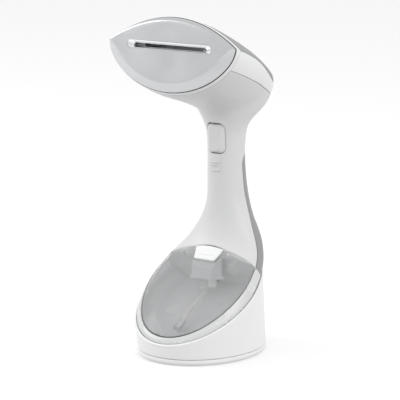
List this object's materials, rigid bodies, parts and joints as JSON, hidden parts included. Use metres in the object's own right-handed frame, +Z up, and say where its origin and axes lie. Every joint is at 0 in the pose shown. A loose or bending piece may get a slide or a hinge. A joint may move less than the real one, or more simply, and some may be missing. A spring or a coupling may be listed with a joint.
{
  "type": "handheld garment steamer",
  "caption": "Upright handheld garment steamer docked on an oval stand, with a lens-shaped steam plate, a slim trigger handle and a clear water tank in its foot.",
  "frame": {"origin": "on the standing surface, below the centre of the stand's tilted opening, in the plane of symmetry", "axes": "+Z up, -Y the way the steam plate faces, +X to the viewer's right when the plate is seen from the front"},
  "size_m": [0.157, 0.1603, 0.3504],
  "materials": {
    "white_gloss": "smooth moulded gloss, fine parting lines",
    "shell_grey": "satin moulded plastic, pale warm grey",
    "rear_grey": "satin moulded plastic, mid grey",
    "plate_metal": "satin coated sole plate with a polished sloping border",
    "chrome_liner": "bright plated liner of the steam slot",
    "steel": "plain drawn steel",
    "smoky_clear": "smoky clear moulded plastic, glossy",
    "frosted_clear": "translucent frosted plastic",
    "cast_metal": "as-cast light alloy, slightly rough",
    "dark_rubber": "matte moulded elastomer",
    "silicone": "translucent white silicone",
    "brass": "turned brass",
    "board_green": "solder-masked fibreglass board",
    "black_plastic": "matte engineering plastic",
    "retainer_grey": "matte heat-resistant plastic"
  },
  "bodies": {
    "stand": {"stand_shell": "white_gloss", "stand_tray": "white_gloss", "stand_base_plate": "white_gloss", "stand_screw_1": "steel", "stand_screw_2": "steel", "stand_screw_3": "steel", "stand_screw_4": "steel", "anti_slip_pad": "dark_rubber"},
    "steamer": {"plate_bezel": "white_gloss", "head_cover": "white_gloss", "top_insert": "rear_grey", "main_shell": "shell_grey", "rear_cover": "rear_grey", "foot_bulkhead": "shell_grey", "rear_screw_top": "steel", "rear_screw_left": "steel", "rear_screw_right": "steel", "steam_plate": "plate_metal", "slot_liner": "chrome_liner", "plate_gasket": "dark_rubber", "head_frame": "retainer_grey", "steam_block": "cast_metal", "heating_element": "steel", "block_cover": "cast_metal", "thermostat": "brass", "thermal_fuse": "retainer_grey", "trigger_pin": "steel", "trigger_spring": "steel", "switch_bracket": "retainer_grey", "microswitch": "black_plastic", "water_pump": "black_plastic", "pump_bracket": "retainer_grey", "steam_hose": "silicone", "suction_hose": "silicone", "port_seat": "dark_rubber", "control_board": "board_green", "terminal_block": "black_plastic", "cord_gland": "dark_rubber"},
    "tank": {"tank_window": "smoky_clear", "tank_seal": "dark_rubber", "tank_bowl": "frosted_clear", "latch_tower": "frosted_clear", "fill_plug": "silicone", "outlet_valve": "black_plastic", "suction_pipe": "silicone", "filter_weight": "steel", "latch_pin": "steel", "latch_spring": "steel"},
    "latch": {"tank_latch": "white_gloss"},
    "trigger": {"trigger": "shell_grey"},
    "lock_slider": {"lock_slider": "shell_grey"}
  },
  "joints": [
    {"name": "lift_off", "type": "slide", "parent": "stand", "child": "steamer", "axis": [0, 0, 1], "range_m": [0, 0.1]},
    {"name": "tank_release", "type": "slide", "parent": "steamer", "child": "tank", "axis": [0, -0.5, 0.866], "range_m": [0, 0.06]},
    {"name": "latch_press", "type": "hinge", "parent": "tank", "child": "latch", "pos_m": [0, 0.0164, 0.0954], "axis": [1, 0, 0], "range_deg": [0, 5], "stiffness_Nm_per_rad": 0.4, "springref_deg": -2.86, "deforming": ["latch_spring"]},
    {"name": "trigger_pull", "type": "hinge", "parent": "steamer", "child": "trigger", "pos_m": [0, 0.036, 0.231], "axis": [1, 0, 0], "range_deg": [0, 7], "stiffness_Nm_per_rad": 0.3, "springref_deg": -5.73, "deforming": ["trigger_spring"]},
    {"name": "lock_slide", "type": "slide", "parent": "steamer", "child": "lock_slider", "axis": [0, 0, -1], "range_m": [0, 0.004]}
  ]
}
